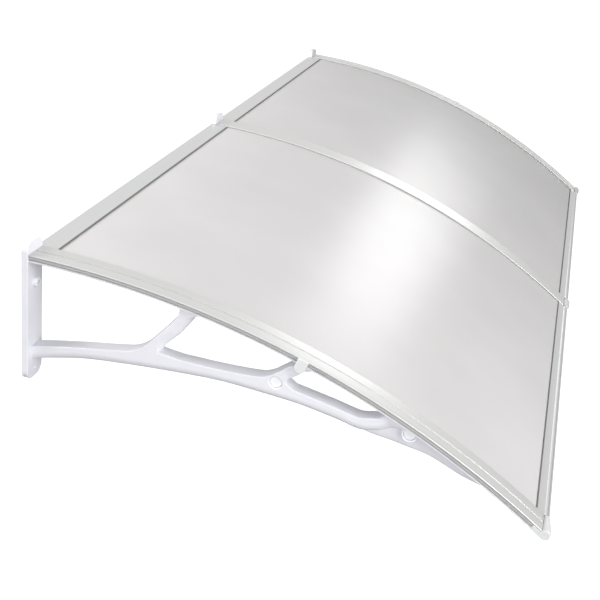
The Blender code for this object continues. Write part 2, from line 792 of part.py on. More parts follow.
def add_screws(parts, looks):
    """Screws from under the rail into the cover strips."""
    for name, y in BRACKETS.items():
        for number, setback in enumerate(SCREW_SETBACKS, 1):
            centre, normal = screw_frame(setback)
            centre.y = y
            seat = centre + normal * (RIB_UNDER - SCREW_SEAT_GAP)
            end = centre + normal * (STRIP_TOP - SCREW_ROOF - SCREW_CLEARANCE)
            head_end = seat - normal * SCREW_HEAD_HEIGHT
            title = f"strip_screw_{name}_{number}"
            screw = rod(title, SCREW_HEAD_RADIUS, head_end, seat, SMALL_SIDES, parts)
            overlap = normal * SCREW_HEAD_HEIGHT / 2
            shank = rod("shank", SCREW_RADIUS, seat - overlap, end, SMALL_SIDES, parts)
            finish(combine(screw, [shank], "UNION"), looks["screw_steel"])


def main():
    clear_scene()
    parts = collection("door_canopy")
    cutters = collection("cutters")
    looks = {
        "bracket_plastic": PLASTIC_WHITE,
        "plug_plastic": PLASTIC_WHITE,
        "strip_aluminium": ALUMINIUM,
        "bar_aluminium": ALUMINIUM,
        "gasket_rubber": RUBBER_GREY,
        "sheet_polycarbonate": SHEET_MILKY,
        "cap_plastic": PLASTIC_GREY,
        "clip_plastic": PLASTIC_GREY,
        "screw_steel": STEEL,
    }
    looks = {name: material(name, look) for name, look in looks.items()}
    add_brackets(parts, cutters, looks)
    add_plugs(parts, looks)
    add_strips(parts, cutters, looks)
    add_gaskets(parts, cutters, looks)
    add_sheets(parts, cutters, looks)
    add_bars(parts, looks)
    add_end_caps(parts, cutters, looks)
    add_clips(parts, looks)
    add_screws(parts, looks)


main()
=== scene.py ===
# %% [markdown]
# # A polycarbonate door canopy
#
# This small roof hangs over a door. Two curved sheets of milky twin-wall polycarbonate lie on three moulded
# brackets, and aluminium strips clamp them down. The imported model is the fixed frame: every piece below is
# made round it, in metres, with the wall at X = 0, Y along the wall and Z up.
#
# Nearly everything on the canopy is bent round one circle, so the circle is worked out first and used by
# all.

import math

import bmesh
import bpy
from mathutils import Matrix, Vector


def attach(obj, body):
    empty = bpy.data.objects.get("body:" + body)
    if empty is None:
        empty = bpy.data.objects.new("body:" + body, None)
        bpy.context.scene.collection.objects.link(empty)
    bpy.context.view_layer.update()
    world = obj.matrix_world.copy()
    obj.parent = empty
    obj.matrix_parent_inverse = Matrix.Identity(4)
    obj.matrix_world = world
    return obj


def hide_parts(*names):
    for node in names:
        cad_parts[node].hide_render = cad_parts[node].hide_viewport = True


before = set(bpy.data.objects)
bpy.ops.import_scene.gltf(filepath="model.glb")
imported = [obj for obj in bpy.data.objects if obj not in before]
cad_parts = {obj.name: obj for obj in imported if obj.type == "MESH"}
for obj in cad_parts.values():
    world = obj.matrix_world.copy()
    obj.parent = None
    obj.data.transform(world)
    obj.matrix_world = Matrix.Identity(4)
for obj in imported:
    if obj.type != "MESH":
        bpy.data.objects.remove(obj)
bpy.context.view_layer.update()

# %% The circle of the roof
MM = 0.001
PROJECTION = 0.96
FRONT_DROP = 0.304
SHEET_RISE = 0.078
STACK_SETOUT = 12.3 * MM
CHORD = math.hypot(PROJECTION, FRONT_DROP)
ARC_RADIUS = (CHORD**2 / 4 + SHEET_RISE**2) / (2 * SHEET_RISE)
CHORD_NORMAL = Vector((FRONT_DROP, 0, PROJECTION)) / CHORD
ARC_CENTRE = Vector((PROJECTION, 0, -FRONT_DROP)) / 2 - CHORD_NORMAL * (ARC_RADIUS - SHEET_RISE)
BRACKET_PLACES = {"near": -0.9745, "middle": 0.0, "far": 0.9745}


def angle_at(x, level=0.0):
    return math.asin((x - ARC_CENTRE.x) / (ARC_RADIUS + level))


def on_arc(angle, level, y=0.0):
    """Point at an angle from the vertical and a height square to the sheets' top face."""
    reach = ARC_RADIUS + level
    return ARC_CENTRE + Vector((math.sin(angle) * reach, y, math.cos(angle) * reach))


FRONT_ANGLE = angle_at(PROJECTION)
STACK_START = angle_at(STACK_SETOUT)


def back_from_front(length):
    return FRONT_ANGLE - length / ARC_RADIUS


def under_roof(x, depth):
    """Point at a vertical depth below the sheets' top face."""
    return on_arc(angle_at(x), 0.0) - Vector((0, 0, depth))


print("roof circle: radius", round(ARC_RADIUS, 4), "front slope", round(math.degrees(FRONT_ANGLE), 1))

# %% [markdown]
# ## Camera, floor and light
#
# The camera stands to the front left of the canopy and looks slightly down on it, as a product photographer
# would. Its place and lens were found by fitting the straight edges of the brackets, bars and strips. The
# picture is square, so no shift is needed.

# %% Camera
CAMERA_PLACE = Vector((0.81859065, -2.49892373, 0.73598563))
CAMERA_TURN = Vector((0.41729605, 0.23572507, 0.16459926))
FOCAL_PIXELS = 1047.083
PICTURE_SIDE = 600
looking_along_y = Matrix(((1, 0, 0), (0, 0, -1), (0, 1, 0)))
to_view = Matrix.Rotation(CAMERA_TURN.length, 3, CAMERA_TURN.normalized()) @ looking_along_y
camera_axes = Matrix((to_view[0], -to_view[1], -to_view[2])).transposed()
camera_data = bpy.data.cameras.new("camera")
camera_data.sensor_width = 36
camera_data.lens = FOCAL_PIXELS * camera_data.sensor_width / PICTURE_SIDE
camera_data.clip_end = 200
camera = bpy.data.objects.new("camera", camera_data)
camera.matrix_world = Matrix.Translation(CAMERA_PLACE) @ camera_axes.to_4x4()
bpy.context.scene.collection.objects.link(camera)
bpy.context.scene.camera = camera
print("lens", round(camera_data.lens, 2), "mm")

# %% [markdown]
# ### Materials are built from nodes
#
# Colours are written as the sRGB hex a paint shop would give, and one function turns them into the linear
# numbers a shader wants. One more function adds any node with its settings and links.

# %% Colour and node helpers
def linear(hex_code):
    """The linear colour of an sRGB hex code."""
    parts = [int(hex_code[i : i + 2], 16) / 255 for i in (1, 3, 5)]
    return tuple(c / 12.92 if c <= 0.04045 else ((c + 0.055) / 1.055) ** 2.4 for c in parts) + (1.0,)


def add_node(tree, kind, settings=None, inputs=None):
    """Adds a node. An input takes a value or another node's output, and a ramp's stops are given in hex."""
    made = tree.nodes.new(kind)
    for name, value in (settings or {}).items():
        if name == "stops":
            for element, (position, hex_code) in zip(made.color_ramp.elements, value):
                element.position = position
                element.color = linear(hex_code)
        else:
            setattr(made, name, value)
    for name, value in (inputs or {}).items():
        if isinstance(value, bpy.types.NodeSocket):
            tree.links.new(value, made.inputs[name])
        else:
            made.inputs[name].default_value = value
    return made


def new_material(name):
    """An empty node material, and its tree."""
    made = bpy.data.materials.new(name)
    made.use_nodes = True
    made.node_tree.nodes.clear()
    return made, made.node_tree


# %% [markdown]
# A grey floor lies a metre under the canopy, in a pale round room. Both are pure white to the camera,
# because the floor adds light of its own for camera rays, so the canopy stands on clean white. Mirrored in
# the aluminium and the sheets, the room is bright overhead and darker towards the horizon, as a studio is,
# which gives the profiles their shape.

# %% Floor and world
FLOOR_HEIGHT = -1.1
FLOOR_SIZE = 60.0
WHITE = (1, 1, 1, 1)
ROOM_LIGHT = 0.36
HORIZON_MIRRORED = 0.88
OVERHEAD_MIRRORED = 1.05
OVERHEAD_STARTS = 0.7

bpy.ops.object.select_all(action="DESELECT")
bpy.ops.mesh.primitive_plane_add(size=FLOOR_SIZE, location=(0, 0, FLOOR_HEIGHT))
floor = bpy.context.object
floor.name = "studio_floor"
floor_paint, tree = new_material("studio_floor_paint")
rays = add_node(tree, "ShaderNodeLightPath").outputs
seen = add_node(
    tree, "ShaderNodeMath", {"operation": "MAXIMUM"},
    {0: rays["Is Camera Ray"], 1: rays["Is Transmission Ray"]},
)
shader = add_node(tree, "ShaderNodeBsdfPrincipled", None, {
    "Base Color": linear("#8C8C8C"),
    "Roughness": 0.9,
    "Emission Color": WHITE,
    "Emission Strength": seen.outputs["Value"],
})
add_node(tree, "ShaderNodeOutputMaterial", None, {"Surface": shader.outputs["BSDF"]})
floor.data.materials.append(floor_paint)

world = bpy.data.worlds.new("studio")
bpy.context.scene.world = world
world.use_nodes = True
tree = world.node_tree
tree.nodes.clear()
rays = add_node(tree, "ShaderNodeLightPath").outputs
direction = add_node(tree, "ShaderNodeTexCoord").outputs["Generated"]
upward = add_node(tree, "ShaderNodeSeparateXYZ", None, {"Vector": direction}).outputs["Z"]
overhead = add_node(tree, "ShaderNodeMapRange", None, {
    "Value": upward,
    "From Max": OVERHEAD_STARTS,
    "To Min": HORIZON_MIRRORED,
    "To Max": OVERHEAD_MIRRORED,
})
mirrored = add_node(
    tree, "ShaderNodeMath", {"operation": "MULTIPLY"},
    {0: rays["Is Glossy Ray"], 1: overhead.outputs["Result"]},
)
strength = mirrored.outputs["Value"]
for other in (rays["Is Camera Ray"], rays["Is Transmission Ray"], ROOM_LIGHT):
    brighter = add_node(tree, "ShaderNodeMath", {"operation": "MAXIMUM"}, {0: strength, 1: other})
    strength = brighter.outputs["Value"]
sky = add_node(tree, "ShaderNodeBackground", None, {"Color": WHITE, "Strength": strength})
add_node(tree, "ShaderNodeOutputWorld", None, {"Surface": sky.outputs["Background"]})
print("floor at", FLOOR_HEIGHT, "room light", ROOM_LIGHT)

# %% [markdown]
# Four soft lamps light it. A large one on the left is the main light and makes the near faces of the
# brackets the brightest. One high above the wall side and one low at the front light the two ends of the
# sheets, and leave them darker in between. The last is a small softbox beyond the canopy: the bent sheets
# mirror it as one broad bright band.

# %% Lamps
LAMPS = {
    "main_softbox": ((0.3, -4.2, 0.6), (0.3, -0.6, -0.1), (3.0, 2.4), 42.0, 180.0),
    "rear_softbox": ((-2.8, -1.0, 1.5), (0.25, -0.4, -0.1), (2.2, 1.8), 150.0, 180.0),
    "front_softbox": ((2.6, -2.0, 0.9), (0.6, -0.4, -0.1), (2.0, 2.0), 66.0, 180.0),
    "band_softbox": ((0.93, 2.15, 0.90), (0.55, -0.75, 0.28), (0.7, 0.6), 0.8, 50.0),
}
for name, (place, target, size, power, spread) in LAMPS.items():
    lamp_data = bpy.data.lights.new(name, "AREA")
    lamp_data.shape = "RECTANGLE"
    lamp_data.size, lamp_data.size_y = size
    lamp_data.energy = power
    lamp_data.spread = math.radians(spread)
    lamp = bpy.data.objects.new(name, lamp_data)
    aim = (Vector(target) - Vector(place)).to_track_quat("-Z", "Y")
    lamp.matrix_world = Matrix.Translation(place) @ aim.to_matrix().to_4x4()
    bpy.context.scene.collection.objects.link(lamp)
    print(name, power, "W")

scene = bpy.context.scene
scene.view_settings.view_transform = "Standard"

# %% [markdown]
# ## Materials
#
# **Moulded ABS.** The brackets and plugs are injection-moulded ABS plastic, a cool white. The mould's fine
# spark-eroded skin gives a soft sheen and breaks up reflections a little; thick places cool with faint
# unevenness. Real grain is about 0.1 mm, too fine for the picture, so it is drawn at 0.8 mm.

# %% Moulded ABS
ABS_GRAIN = 0.8 * MM
ABS_CLOUD = 40 * MM


def moulded_plastic(name, dark, light, roughness):
    made, tree = new_material(name)
    place = add_node(tree, "ShaderNodeTexCoord").outputs["Object"]
    cloud = add_node(tree, "ShaderNodeTexNoise", None, {"Vector": place, "Scale": 1 / ABS_CLOUD})
    colour = add_node(
        tree, "ShaderNodeValToRGB", {"stops": [(0.3, dark), (0.7, light)]}, {"Fac": cloud.outputs["Fac"]}
    )
    skin = add_node(
        tree, "ShaderNodeTexNoise", None, {"Vector": place, "Scale": 1 / ABS_GRAIN, "Detail": 3.0}
    ).outputs["Fac"]
    sheen = add_node(
        tree, "ShaderNodeMapRange", None,
        {"Value": skin, "To Min": roughness - 0.06, "To Max": roughness + 0.06},
    )
    relief = add_node(
        tree, "ShaderNodeBump", None, {"Height": skin, "Distance": 0.02 * MM, "Strength": 0.35}
    )
    shader = add_node(tree, "ShaderNodeBsdfPrincipled", None, {
        "Base Color": colour.outputs["Color"],
        "Roughness": sheen.outputs["Result"],
        "IOR": 1.53,
        "Normal": relief.outputs["Normal"],
    })
    add_node(tree, "ShaderNodeOutputMaterial", None, {"Surface": shader.outputs["BSDF"]})
    return made


ABS_WHITE = moulded_plastic("moulded_white_abs", "#E8E8EE", "#EBEBF1", 0.42)
PLUG_WHITE = moulded_plastic("plug_white_abs", "#F8F8FA", "#FBFBFC", 0.36)
CAP_GREY = moulded_plastic("cap_grey_abs", "#D3D4D5", "#D8D9DA", 0.40)
CLIP_GREY = moulded_plastic("clip_pale_abs", "#DCDDDE", "#E2E3E4", 0.38)

# %% [markdown]
# **Anodised aluminium.** Strips and bars are extruded and satin-anodised. The die leaves lines along the
# whole length, so the pattern is drawn out 400 to 1000 times longer along the profile than across it. Die
# lines are some 0.3 mm apart; they are drawn at 1.2 mm to show.

# %% Anodised aluminium
DIE_LINE = 1.2 * MM


def anodised_aluminium(name, stretch, dark, light):
    made, tree = new_material(name)
    place = add_node(tree, "ShaderNodeTexCoord").outputs["Object"]
    drawn = add_node(
        tree, "ShaderNodeMapping", None, {"Vector": place, "Scale": tuple(1 / s for s in stretch)}
    )
    lines = add_node(
        tree, "ShaderNodeTexNoise", None, {"Vector": drawn.outputs["Vector"], "Scale": 1 / DIE_LINE}
    ).outputs["Fac"]
    colour = add_node(
        tree, "ShaderNodeValToRGB", {"stops": [(0.35, dark), (0.65, light)]}, {"Fac": lines}
    )
    sheen = add_node(tree, "ShaderNodeMapRange", None, {"Value": lines, "To Min": 0.38, "To Max": 0.50})
    relief = add_node(
        tree, "ShaderNodeBump", None, {"Height": lines, "Distance": 0.02 * MM, "Strength": 0.3}
    )
    shader = add_node(tree, "ShaderNodeBsdfPrincipled", None, {
        "Base Color": colour.outputs["Color"],
        "Metallic": 0.85,
        "Roughness": sheen.outputs["Result"],
        "Normal": relief.outputs["Normal"],
    })
    add_node(tree, "ShaderNodeOutputMaterial", None, {"Surface": shader.outputs["BSDF"]})
    return made


STRIP_METAL = anodised_aluminium("anodised_strip_aluminium", (400, 1, 400), "#CDCDCC", "#D2D2D1")
BAR_METAL = anodised_aluminium("anodised_bar_aluminium", (1, 1000, 1), "#CACBCA", "#CFD0CF")

# %% [markdown]
# ** EPDM rubber and zinc-plated steel.** Lips and gaskets are extruded rubber, matt, with a dusty bloom. The
# gaskets lie between pale pieces and are a mid grey, paler than the lips: that grey is the tone of the band
# of shade under the strips' edges, so it is partly painted shade. The screws' zinc is bright, with a faint
# crystal pattern. Both have a grain of 0.1 mm or less, drawn at about 0.5 mm to show.

# %% Rubber and steel
RUBBER_BLOOM = 3 * MM
RUBBER_GRAIN = 0.6 * MM
ZINC_CRYSTAL = 2 * MM
ZINC_GRAIN = 0.5 * MM


def fine_finish(name, cloud_size, cloud_detail, grain_size, grain_depth, dark, light, plain):
    """A cloudy colour over a fine grain. The shader's plain values are given whole."""
    made, tree = new_material(name)
    place = add_node(tree, "ShaderNodeTexCoord").outputs["Object"]
    cloud = add_node(
        tree, "ShaderNodeTexNoise", None,
        {"Vector": place, "Scale": 1 / cloud_size, "Detail": cloud_detail},
    )
    colour = add_node(
        tree, "ShaderNodeValToRGB", {"stops": [(0.3, dark), (0.7, light)]}, {"Fac": cloud.outputs["Fac"]}
    )
    grain = add_node(tree, "ShaderNodeTexNoise", None, {"Vector": place, "Scale": 1 / grain_size})
    relief = add_node(
        tree, "ShaderNodeBump", None,
        {"Height": grain.outputs["Fac"], "Distance": grain_depth, "Strength": 0.4},
    )
    shader = add_node(tree, "ShaderNodeBsdfPrincipled", None, {
        "Base Color": colour.outputs["Color"], "Normal": relief.outputs["Normal"], **plain,
    })
    add_node(tree, "ShaderNodeOutputMaterial", None, {"Surface": shader.outputs["BSDF"]})
    return made


def rubber(name, dark, light):
    matt = {"Roughness": 0.72, "IOR": 1.52}
    return fine_finish(name, RUBBER_BLOOM, 4.0, RUBBER_GRAIN, 0.03 * MM, dark, light, matt)


LIP_RUBBER = rubber("epdm_lip_rubber", "#707071", "#7E7E7F")
# The gaskets' mid grey is rubber and partly painted shade: the tone of the shaded band under the strips'
# edges.
GASKET_RUBBER_AND_SHADE = rubber("epdm_gasket_rubber_and_painted_shade", "#A3A3A4", "#AFAFB0")
ZINC_STEEL = fine_finish(
    "zinc_plated_steel", ZINC_CRYSTAL, 2.0, ZINC_GRAIN, 0.01 * MM, "#B4B4B0", "#C8C8C6",
    {"Metallic": 1.0, "Roughness": 0.28},
)

# %% [markdown]
# **Milky twin-wall polycarbonate.** The sheet is extruded as two thin skins joined by ribs every 5.9 mm. It
# is opal: light scatters inside it and so little shows through that it is drawn as an opaque pale skin. The
# skin is glossy but never quite flat, so a lamp becomes a broad soft glow. The ribs show faintly as lines
# from wall to front, at their true pitch. The skin's haze and ripple are drawn out along the ribs.

# %% Polycarbonate
FLUTES = 168
SHEET_OUTER = 0.9975
SHEET_INNER = 0.003
FLUTE_PITCH = (SHEET_OUTER - SHEET_INNER) / FLUTES
WAVE_REPEAT = math.pi / 10
SHEET_CLOUD = 250 * MM
SKIN_HAZE = 6 * MM
SKIN_RIPPLE = 3 * MM

POLYCARBONATE, tree = new_material("opal_twinwall_polycarbonate")
place = add_node(tree, "ShaderNodeTexCoord").outputs["Object"]
from_edge = add_node(tree, "ShaderNodeMapping", None, {"Vector": place, "Location": (0, -SHEET_INNER, 0)})
ribs = add_node(
    tree, "ShaderNodeTexWave", {"bands_direction": "Y"},
    {"Vector": from_edge.outputs["Vector"], "Scale": WAVE_REPEAT / FLUTE_PITCH},
)
rib_shade = add_node(
    tree, "ShaderNodeValToRGB", {"stops": [(0.0, "#F4F4F4"), (0.5, "#FFFFFF")]},
    {"Fac": ribs.outputs["Fac"]},
)
cloud = add_node(tree, "ShaderNodeTexNoise", None, {"Vector": place, "Scale": 1 / SHEET_CLOUD})
base = add_node(
    tree, "ShaderNodeValToRGB", {"stops": [(0.35, "#CFCDCD"), (0.65, "#D4D2D2")]},
    {"Fac": cloud.outputs["Fac"]},
)
# The mix node has a set of sockets for each kind of data: its colours are inputs 6 and 7 and output 2.
mixed = add_node(
    tree, "ShaderNodeMix", {"data_type": "RGBA", "blend_type": "MULTIPLY"},
    {0: 1.0, 6: base.outputs["Color"], 7: rib_shade.outputs["Color"]},
)
along_ribs = add_node(tree, "ShaderNodeMapping", None, {"Vector": place, "Scale": (1 / 12, 1, 1 / 12)})
haze = add_node(
    tree, "ShaderNodeTexNoise", None,
    {"Vector": along_ribs.outputs["Vector"], "Scale": 1 / SKIN_HAZE, "Detail": 3.0},
)
gloss = add_node(
    tree, "ShaderNodeMapRange", None, {"Value": haze.outputs["Fac"], "To Min": 0.30, "To Max": 0.40}
)
shorter = add_node(tree, "ShaderNodeMapping", None, {"Vector": place, "Scale": (1 / 8, 1, 1 / 8)})
ripple = add_node(
    tree, "ShaderNodeTexNoise", None, {"Vector": shorter.outputs["Vector"], "Scale": 1 / SKIN_RIPPLE}
)
relief = add_node(
    tree, "ShaderNodeBump", None,
    {"Height": ripple.outputs["Fac"], "Distance": 0.03 * MM, "Strength": 0.35},
)
shader = add_node(tree, "ShaderNodeBsdfPrincipled", None, {
    "Base Color": mixed.outputs[2],
    "Roughness": gloss.outputs["Result"],
    "IOR": 1.585,
    "Normal": relief.outputs["Normal"],
})
add_node(tree, "ShaderNodeOutputMaterial", None, {"Surface": shader.outputs["BSDF"]})
print("flute pitch", round(FLUTE_PITCH / MM, 2), "mm")

# %% [markdown]
# ## Modelling helpers
#
# Most pieces are an outline drawn out into a solid. By hand that is: add a circle, push its points onto the
# outline, then extrude it again and again, moving each new ring into place. Moving rings a little inwards
# near the ends rounds the rims, with a radius that can differ round the outline, which a bevel can't do.

# %% Starting and selecting
def start(primitive, **settings):
    """Adds a primitive with nothing else selected."""
    bpy.ops.object.select_all(action="DESELECT")
    primitive(**settings)
    return bpy.context.object


def pick(obj, kind, test):
    """In edit mode, selects only the edges or faces that pass a test."""
    bpy.ops.mesh.select_mode(type=kind)
    bpy.ops.mesh.select_all(action="DESELECT")
    mesh = bmesh.from_edit_mesh(obj.data)
    for part in {"EDGE": mesh.edges, "FACE": mesh.faces}[kind]:
        if test(part):
            part.select_set(True)
    mesh.select_flush_mode()
    bmesh.update_edit_mesh(obj.data)


def only(obj):
    """Makes this the one selected and active object."""
    bpy.ops.object.select_all(action="DESELECT")
    obj.select_set(True)
    bpy.context.view_layer.objects.active = obj


def modify(obj, kind, **settings):
    """Adds a modifier and applies it."""
    only(obj)
    modifier = obj.modifiers.new(kind.lower(), kind)
    for name, value in settings.items():
        setattr(modifier, name, value)
    bpy.ops.object.modifier_apply(modifier=modifier.name)


def weld(obj, distance=0.01 * MM):
    """Merges points that lie together and turns all faces outwards."""
    only(obj)
    bpy.ops.object.mode_set(mode="EDIT")
    bpy.ops.mesh.select_all(action="SELECT")
    bpy.ops.mesh.remove_doubles(threshold=distance)
    bpy.ops.mesh.normals_make_consistent(inside=False)
    bpy.ops.object.mode_set(mode="OBJECT")
    return obj


def loft(name, rings):
    """Closed solid through rings of equal count, filled at both ends."""
    obj = start(bpy.ops.mesh.primitive_circle_add, vertices=len(rings[0]), radius=1.0, fill_type="NGON")
    obj.name = name
    for vertex, place in zip(obj.data.vertices, rings[0]):
        vertex.co = place
    bpy.ops.object.mode_set(mode="EDIT")
    bpy.ops.mesh.select_mode(type="FACE")
    bpy.ops.mesh.select_all(action="SELECT")
    for before, after in zip(rings, rings[1:]):
        bpy.ops.mesh.extrude_region_move()
        mesh = bmesh.from_edit_mesh(obj.data)
        cap = next(face for face in mesh.faces if face.select)
        for vertex in cap.verts:
            nearest = min(range(len(before)), key=lambda i: (before[i] - vertex.co).length_squared)
            vertex.co = after[nearest]
        bmesh.update_edit_mesh(obj.data)
    bpy.ops.object.mode_set(mode="OBJECT")
    return weld(obj)


Y_AXIS = Vector((0, 1, 0))
LOBES = 6
LOBE_DEPTH = 0.12


def turned(name, centre, axis, profile, sides=48, lobes=None):
    """Solid turned from (height, radius) steps along an axis. Steps in lobes are six-lobed, as a drive."""
    side = axis.orthogonal().normalized()
    cross = axis.cross(side).normalized()
    rings = []
    for index, (height, radius) in enumerate(profile):
        ring = []
        for turn in (2 * math.pi * step / sides for step in range(sides)):
            wave = LOBE_DEPTH * math.cos(LOBES * turn) if index in (lobes or ()) else 0.0
            reach = radius * (1 + wave)
            ring.append(centre + axis * height + (side * math.cos(turn) + cross * math.sin(turn)) * reach)
        rings.append(ring)
    return loft(name, rings)


def spun(name, section, first, last, steps):
    """A section of (y, level) points, drawn round the roof's circle between two angles."""
    ring = [on_arc(first, level, y) for y, level in section]
    obj = start(bpy.ops.mesh.primitive_circle_add, vertices=len(ring), radius=1.0, fill_type="NGON")
    obj.name = name
    for vertex, place in zip(obj.data.vertices, ring):
        vertex.co = place
    bpy.ops.object.mode_set(mode="EDIT")
    bpy.ops.mesh.select_all(action="SELECT")
    bpy.ops.mesh.spin(steps=steps, angle=first - last, center=ARC_CENTRE, axis=(0, 1, 0))
    bpy.ops.object.mode_set(mode="OBJECT")
    return weld(obj)


def combine(base, others, operation):
    """Joins or cuts with the others by a Boolean, and removes them."""
    for other in others:
        modify(base, "BOOLEAN", operation=operation, solver="EXACT", object=other)
        bpy.data.objects.remove(other)
        weld(base)


def copy_to(obj, name, y):
    """A copy with its own mesh, moved along Y, with its place in the mesh."""
    only(obj)
    bpy.ops.object.duplicate()
    made = bpy.context.object
    made.name = name
    bpy.ops.transform.translate(value=(0, y, 0))
    bpy.ops.object.transform_apply(location=True, rotation=True, scale=True)
    return made


def finish(obj, name, material, nodes, smooth_under=35.0):
    """Smooth shading, material, slot and place on the frame for a finished piece."""
    only(obj)
    obj.name = name
    obj.data.name = name
    obj.data.materials.clear()
    obj.data.materials.append(material)
    bpy.ops.object.shade_smooth_by_angle(angle=math.radians(smooth_under))
    modify(obj, "WEIGHTED_NORMAL", keep_sharp=True)
    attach(obj, "root")
    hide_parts(*nodes)
    print(name, len(obj.data.polygons), "faces")


def counter_clockwise(outline):
    """The outline, running counter-clockwise as seen from -Y."""
    area = sum(a.x * b.z - b.x * a.z for a, b in zip(outline, outline[1:] + outline[:1]))
    return outline if area > 0 else outline[::-1]


def outward_directions(outline):
    """The direction out of a counter-clockwise outline at each of its points."""
    around = outline[-1:] + outline + outline[:1]
    along = [after - before for before, after in zip(around, around[2:])]
    return [Vector((a.z, 0, -a.x)).normalized() for a in along]


def rounded_rings(outline, half, radii, flare=False, steps=4):
    """Rings for an outline drawn out to both sides of Y = 0, with a rounding radius for each point.

    A flared one grows towards its ends: cut from a solid, it leaves a rounded rim.
    """
    outward = outward_directions(outline)
    sign = 1 if flare else -1
    rings = []
    for side in (-1, 1):
        turns = [math.pi / 2 * step / steps for step in range(steps + 1)]
        for turn in turns[:: -1 if side < 0 else 1]:
            ring = []
            for place, away, radius in zip(outline, outward, radii):
                shift = away * sign * radius * (1 - math.cos(turn))
                y = side * (half - min(radius, 0.9 * half) * (1 - math.sin(turn)))
                ring.append(place + shift + Vector((0, y, 0)))
            rings.append(ring)
    if flare:
        beyond = Vector((0, half, 0))
        rings = [[p - beyond for p in rings[0]], *rings, [p + beyond for p in rings[-1]]]
    return rings


def smooth_curve(points, steps=5):
    """A smooth line through points (Catmull-Rom)."""
    ends = [points[0] * 2 - points[1]] + points + [points[-1] * 2 - points[-2]]
    made = []
    for before, first, last, after in zip(ends, ends[1:], ends[2:], ends[3:]):
        for step in range(steps):
            t = step / steps
            bend = (2 * before - 5 * first + 4 * last - after) * t**2
            twist = (3 * first - before - 3 * last + after) * t**3
            made.append((2 * first + (last - before) * t + bend + twist) / 2)
    return made + [points[-1]]


# %% [markdown]
# ## Brackets
#
# Each bracket is one white moulding: a wall plate, an arched arm with two struts, and a T-shaped rail that
# carries the sheets. The underside of arm and struts is well rounded, by up to 17 mm, and the upper edges
# by little more than 1 mm. The side outline is traced with its three openings, drawn out with that uneven
# rounding, and cut and joined by Booleans. It could also be pieced together from swept bars, but then the
# soft joints where the struts grow out of the arm would be creases.

# %% Outline of the arm
ARM_HALF = 14.5 * MM
TIP_X = PROJECTION - 0.255
CAD_ROUNDING = 1.4 * MM
TOP_ROUNDING = 1.3 * MM
UNDER_ROUNDING = 17.0 * MM
FLANGE_TOP = -6.0 * MM
FLANGE_UNDER = -9.0 * MM
RIB_UNDER = -15.0 * MM
PLATE_INSIDE = 6.0 * MM
RAIL_END = back_from_front(32.3 * MM)
RIB_END = back_from_front(34 * MM)
ARM_FOOT_DEPTH = 205 * MM
FIRST_BAY_DEPTH = 178.5 * MM


def tip_points(places):
    """Points given as metres behind the arm's tip and depth under the sheets."""
    return [under_roof(TIP_X - behind, depth) for behind, depth in places]


def rail_points(places):
    """Points on the underside of the rail's rib, given as metres behind the arm's tip."""
    return [on_arc(angle_at(TIP_X - behind, RIB_UNDER), RIB_UNDER) for behind in places]


def arc_run(first, last, level, steps):
    return [on_arc(first + (last - first) * step / steps, level) for step in range(steps + 1)]


ARM_UNDERSIDE = [
    (0.018, 0.0235), (0.034, 0.0340), (0.051, 0.0505), (0.067, 0.0612), (0.084, 0.0716), (0.102, 0.0760),
    (0.120, 0.0780), (0.192, 0.0905), (0.264, 0.1060), (0.336, 0.1202), (0.412, 0.1383), (0.500, 0.1578),
    (0.590, 0.1760), (0.650, 0.1920),
]
plate_foot = under_roof(PLATE_INSIDE, ARM_FOOT_DEPTH)
arm_top = arc_run(angle_at(PLATE_INSIDE), RIB_END, (FLANGE_TOP + FLANGE_UNDER) / 2, 36)
arm_tip = arc_run(RIB_END, angle_at(TIP_X, RIB_UNDER), RIB_UNDER, 10)
arm_outline = (arm_top + arm_tip + smooth_curve(tip_points(ARM_UNDERSIDE) + [plate_foot]))[::-1]

BAYS = {
    "first_bay": smooth_curve(
        [under_roof(PLATE_INSIDE, FIRST_BAY_DEPTH)]
        + tip_points([
            (0.637, 0.1642), (0.585, 0.1517), (0.540, 0.1402), (0.502, 0.1281), (0.477, 0.1093),
            (0.455, 0.0808), (0.433, 0.0498), (0.4205, 0.0300),
        ])
        + rail_points([0.418])
    ) + arc_run(angle_at(TIP_X - 0.422, RIB_UNDER), angle_at(PLATE_INSIDE, RIB_UNDER), RIB_UNDER, 14),
    "second_bay": smooth_curve(
        tip_points([
            (0.4525, 0.1132), (0.4400, 0.0912), (0.4215, 0.0682), (0.4055, 0.0434), (0.3930, 0.0228),
        ])
        + rail_points([0.384])
    ) + arc_run(angle_at(TIP_X - 0.378, RIB_UNDER), angle_at(TIP_X - 0.212, RIB_UNDER), RIB_UNDER, 8)
    + smooth_curve(
        rail_points([0.2060])
        + tip_points([
            (0.2070, 0.0215), (0.2170, 0.0286), (0.2330, 0.0463), (0.2520, 0.0655), (0.2740, 0.0778),
            (0.3380, 0.0968), (0.4110, 0.1112),
        ])
    ),
    "third_bay": smooth_curve(
        tip_points([
            (0.2180, 0.0640), (0.2220, 0.0590), (0.2160, 0.0530), (0.2050, 0.0412), (0.1930, 0.0268),
        ])
        + rail_points([0.1780])
    ) + arc_run(angle_at(TIP_X - 0.172, RIB_UNDER), angle_at(TIP_X - 0.050, RIB_UNDER), RIB_UNDER, 6)
    + smooth_curve(
        rail_points([0.0440])
        + tip_points([
            (0.0530, 0.0270), (0.0700, 0.0385), (0.0870, 0.0487), (0.1050, 0.0530), (0.1400, 0.0583),
            (0.1760, 0.0640), (0.2060, 0.0680),
        ])
    ),
}
print("arm outline:", len(arm_outline), "points; bays:", {name: len(bay) for name, bay in BAYS.items()})

# %% Arm with its openings
FACING_DOWN = (0.15, 0.65)
CLEAR_OF_RAIL = (18 * MM, 32 * MM)


def ease(value, low, high):
    """Rises smoothly from 0 at low to 1 at high."""
    t = min(max((value - low) / (high - low), 0.0), 1.0)
    return t * t * (3 - 2 * t)


